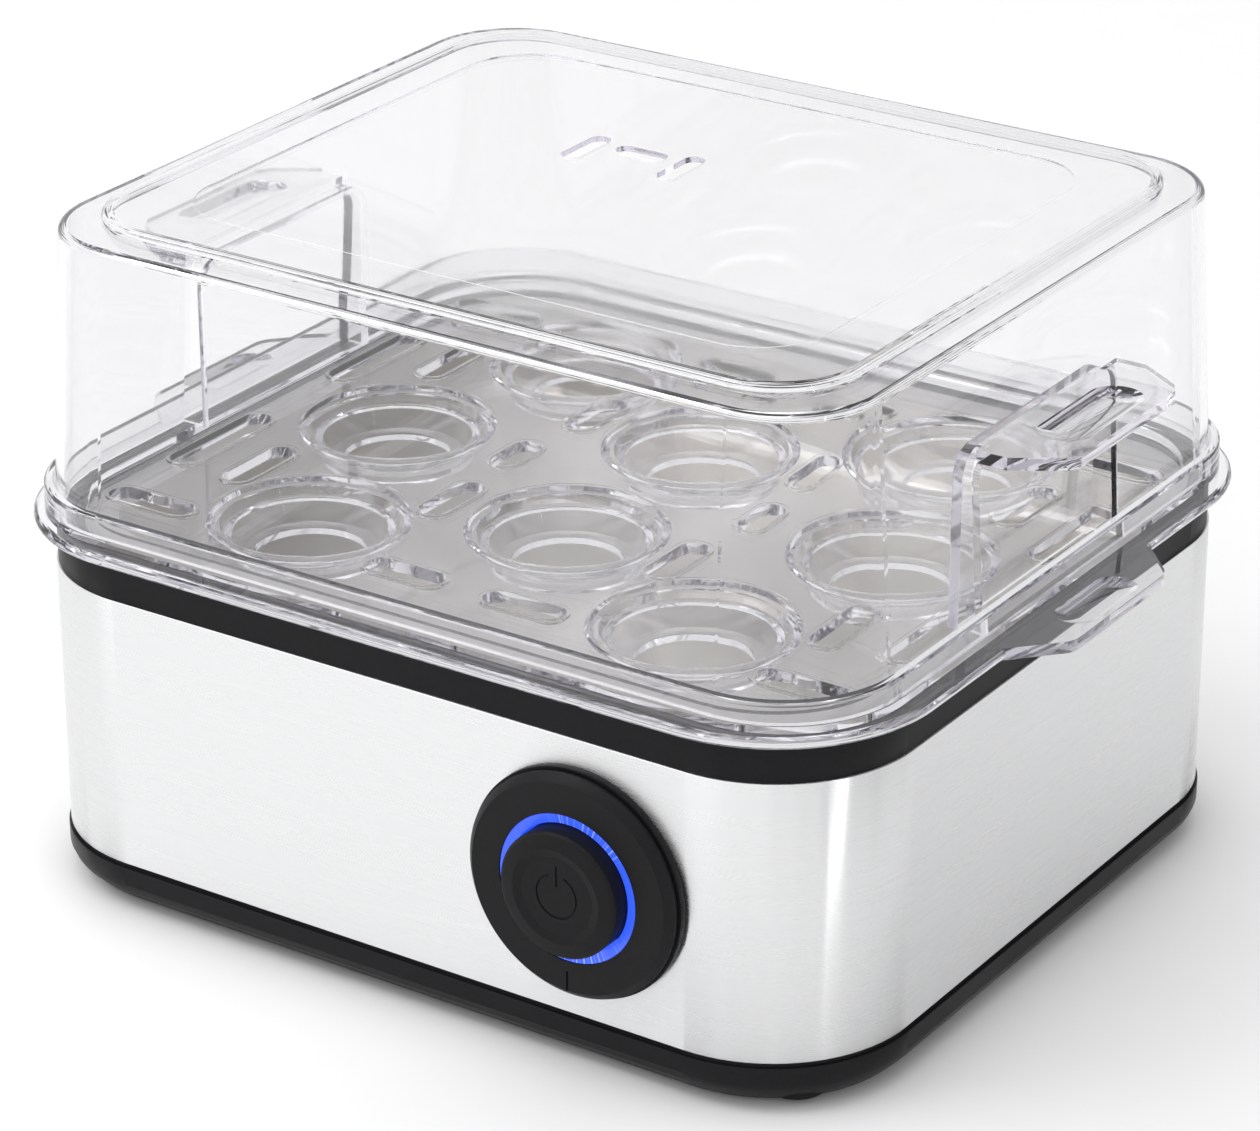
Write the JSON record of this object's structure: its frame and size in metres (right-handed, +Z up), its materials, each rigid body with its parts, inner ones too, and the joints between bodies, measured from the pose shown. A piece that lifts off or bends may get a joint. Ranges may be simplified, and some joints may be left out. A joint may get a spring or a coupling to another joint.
{
  "type": "egg cooker",
  "caption": "Countertop steam egg cooker: brushed steel body with a lit push button, heated water dish, lift-out clear egg tray and clear vented lid with side handles.",
  "frame": {"origin": "on the floor, under the middle of the body", "axes": "+Z up, -Y out of the front with the power button, +X to the right seen from the front"},
  "size_m": [0.204, 0.173, 0.1317],
  "materials": {
    "base_plastic": "satin black moulded plastic",
    "collar_plastic": "satin black moulded plastic",
    "foot_rubber": "matt rubber",
    "label_foil": "blank satin foil label",
    "band_steel": "stainless steel brushed round the body",
    "dish_steel": "satin stainless steel dish",
    "gasket_silicone": "red silicone",
    "cast_aluminium": "cast aluminium",
    "element_steel": "heat-tinted steel tube",
    "shield_steel": "galvanised sheet steel",
    "zinc_screw": "zinc-plated steel",
    "spring_steel": "spring steel wire",
    "phenolic": "phenolic body",
    "fuse_ceramic": "ceramic fuse body",
    "bezel_plastic": "fine matt black plastic",
    "button_plastic": "fine matt black plastic",
    "inner_plastic": "black plastic",
    "gland_plastic": "black nylon",
    "light_guide": "blue-lit translucent light guide",
    "led_epoxy": "clear epoxy",
    "board_green": "green circuit board",
    "relay_blue": "blue plastic case",
    "capacitor_sleeve": "shrink sleeve",
    "block_nylon": "natural nylon",
    "brass": "brass",
    "wire_brown": "brown wire insulation",
    "wire_blue": "blue wire insulation",
    "wire_green": "green and yellow wire insulation",
    "tray_clear": "clear moulded plastic",
    "lid_clear": "clear moulded plastic"
  },
  "bodies": {
    "base": {"bottom_cover": "base_plastic", "rubber_feet": "foot_rubber", "cover_screws": "zinc_screw", "rating_label": "label_foil", "steel_band": "band_steel", "top_collar": "collar_plastic", "dish_gasket": "gasket_silicone", "heating_dish": "dish_steel", "heater_plate": "cast_aluminium", "heating_element": "element_steel", "heater_studs": "zinc_screw", "heater_nuts": "zinc_screw", "heat_shield": "shield_steel", "shield_screws": "zinc_screw", "thermostat": "phenolic", "thermal_fuse": "fuse_ceramic", "fuse_clips": "zinc_screw", "bezel_ring": "bezel_plastic", "bezel_retainer": "inner_plastic", "bezel_screws": "zinc_screw", "light_ring": "light_guide", "control_board": "board_green", "board_screws": "zinc_screw", "tact_switch": "inner_plastic", "ring_leds": "led_epoxy", "power_relay": "relay_blue", "capacitor": "capacitor_sleeve", "buzzer": "inner_plastic", "terminal_block": "block_nylon", "block_screws": "brass", "earth_lug": "brass", "live_wires": "wire_brown", "neutral_wires": "wire_blue", "earth_wire": "wire_green", "cable_gland": "gland_plastic", "gland_nut": "inner_plastic", "button_spring": "spring_steel"},
    "button": {"power_button": "button_plastic", "button_clip": "zinc_screw"},
    "tray": {"egg_tray": "tray_clear"},
    "lid": {"lid_shell": "lid_clear"}
  },
  "joints": [
    {"name": "button_press", "type": "slide", "parent": "base", "child": "button", "axis": [0, 1, 0], "range_m": [0, 0.0025], "stiffness_N_per_m": 800, "springref_m": -0.001, "deforming": ["button_spring"]},
    {"name": "tray_lift", "type": "slide", "parent": "base", "child": "tray", "axis": [0, 0, 1], "range_m": [0, 0.06]},
    {"name": "lid_lift", "type": "slide", "parent": "tray", "child": "lid", "axis": [0, 0, 1], "range_m": [0, 0.08]}
  ]
}
